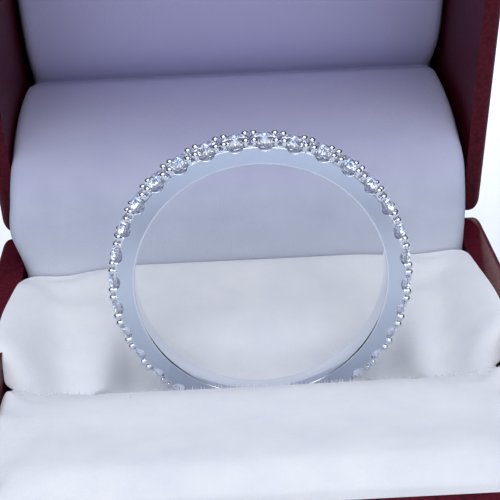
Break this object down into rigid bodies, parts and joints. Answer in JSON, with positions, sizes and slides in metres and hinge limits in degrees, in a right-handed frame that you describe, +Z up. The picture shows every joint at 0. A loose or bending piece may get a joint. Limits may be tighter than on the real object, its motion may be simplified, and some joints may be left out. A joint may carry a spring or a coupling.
{
  "type": "eternity ring in ring box",
  "caption": "Full eternity ring with round stones in shared prongs, standing in the cushioned slot of an open hinged ring box.",
  "frame": {"origin": "centre of the base's flat bottom face", "axes": "+Z up, +Y towards the hinge at the back, +X to the right of someone who faces the open box"},
  "size_m": [0.039, 0.0623, 0.0645],
  "materials": {
    "ring_metal": "polished white metal",
    "stone": "clear cut stone",
    "shell": "semi-gloss grained leatherette",
    "pad": "short-pile velvet",
    "lining": "short-pile velvet",
    "pin": "plain"
  },
  "bodies": {
    "base": {"box_base": "shell", "front_pad": "pad", "rear_pad": "pad", "hinge_roll": "lining", "hinge_pin": "pin", "ring_metal": "ring_metal", "stone_01": "stone", "stone_02": "stone", "stone_03": "stone", "stone_04": "stone", "stone_05": "stone", "stone_06": "stone", "stone_07": "stone", "stone_08": "stone", "stone_09": "stone", "stone_10": "stone", "stone_11": "stone", "stone_12": "stone", "stone_13": "stone", "stone_14": "stone", "stone_15": "stone", "stone_16": "stone", "stone_17": "stone", "stone_18": "stone", "stone_19": "stone", "stone_20": "stone", "stone_21": "stone", "stone_22": "stone", "stone_23": "stone", "stone_24": "stone", "stone_25": "stone", "stone_26": "stone", "stone_27": "stone", "stone_28": "stone", "stone_29": "stone", "stone_30": "stone", "stone_31": "stone", "stone_32": "stone"},
    "lid": {"box_lid": "shell", "lid_lining": "lining"}
  },
  "joints": [
    {"name": "lid_hinge", "type": "hinge", "parent": "base", "child": "lid", "pos_m": [0, 0.021, 0.01815], "axis": [-1, 0, 0], "range_deg": [-72, 0]}
  ]
}
